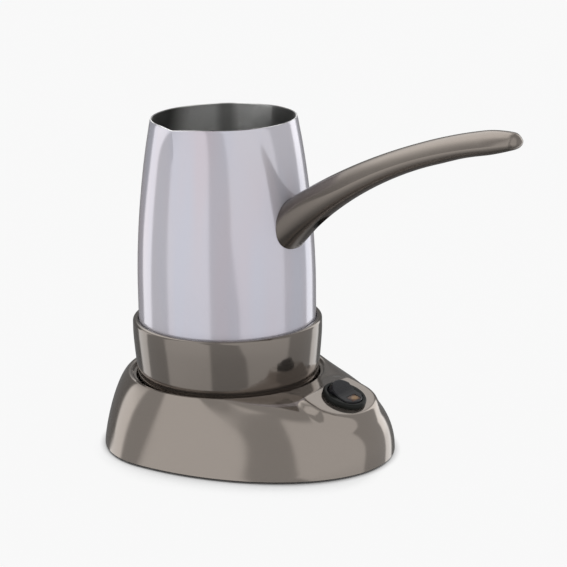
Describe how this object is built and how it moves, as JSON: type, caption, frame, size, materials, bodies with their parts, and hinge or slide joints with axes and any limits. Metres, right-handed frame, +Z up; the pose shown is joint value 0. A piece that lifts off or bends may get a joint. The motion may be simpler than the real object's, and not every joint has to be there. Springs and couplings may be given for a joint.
{
  "type": "electric turkish coffee maker",
  "caption": "Tall tapered steel coffee pot with pouring lips on both sides and a long curved handle, which lifts off a low egg-shaped base with a rocker switch.",
  "frame": {"origin": "on the pot's axis, on the table that the feet stand on", "axes": "+X from the pot's axis towards the handle, the switch and the nose of the base; +Z up; the pouring lips point along +Y and -Y"},
  "size_m": [0.2269, 0.1316, 0.174],
  "materials": {
    "pewter_plastic": "glossy moulded plastic with a fine metallic pewter lacquer",
    "pot_lacquer": "glossy pearl lilac lacquer outside, brushed stainless steel inside",
    "black_plastic": "fine-grained black plastic",
    "rocker_black": "glossy black plastic",
    "gland_rubber": "matte black rubber",
    "lamp_amber": "translucent amber plastic",
    "lamp_glass": "small neon lamp",
    "screw_steel": "zinc-plated steel",
    "contact_brass": "pressed brass strip",
    "heater_aluminium": "plain aluminium disc",
    "element_steel": "heat-darkened steel sheath",
    "cutout_body": "cream moulded body",
    "lead_brown": "brown heat-resistant sleeve",
    "lead_blue": "blue heat-resistant sleeve",
    "lead_green": "green and yellow heat-resistant sleeve"
  },
  "bodies": {
    "base": {"base_housing": "pewter_plastic", "base_plate": "black_plastic", "foot_ring": "gland_rubber", "nose_foot": "gland_rubber", "base_screws": "screw_steel", "power_socket": "black_plastic", "socket_contacts": "contact_brass", "socket_screws": "screw_steel", "switch_frame": "black_plastic", "switch_terminals": "contact_brass", "cord_gland": "gland_rubber", "cord_clamp": "black_plastic", "clamp_screws": "screw_steel", "base_live_leads": "lead_brown", "base_neutral_leads": "lead_blue", "base_earth_lead": "lead_green"},
    "rocker": {"rocker": "rocker_black", "rocker_lens": "lamp_amber", "indicator_lamp": "lamp_glass"},
    "pot": {"pot_body": "pot_lacquer", "collar": "pewter_plastic", "collar_seal": "gland_rubber", "collar_cover": "black_plastic", "cover_screws": "screw_steel", "pot_plug": "black_plastic", "plug_pins": "contact_brass", "plug_screws": "screw_steel", "heat_plate": "heater_aluminium", "heating_element": "element_steel", "element_terminals": "element_steel", "mounting_posts": "screw_steel", "thermal_cutout": "cutout_body", "cutout_strap": "screw_steel", "strap_screws": "screw_steel", "pot_live_leads": "lead_brown", "pot_neutral_lead": "lead_blue", "pot_earth_lead": "lead_green", "handle": "pewter_plastic", "handle_bracket": "screw_steel", "handle_screw": "screw_steel", "handle_cap": "black_plastic"}
  },
  "joints": [
    {"name": "pot_lift", "type": "slide", "parent": "base", "child": "pot", "axis": [0, 0, 1], "range_m": [0, 0.08]},
    {"name": "rocker_tilt", "type": "hinge", "parent": "base", "child": "rocker", "pos_m": [0.07156, 0, 0.03257], "axis": [0, 1, 0], "range_deg": [-24, 0]}
  ]
}
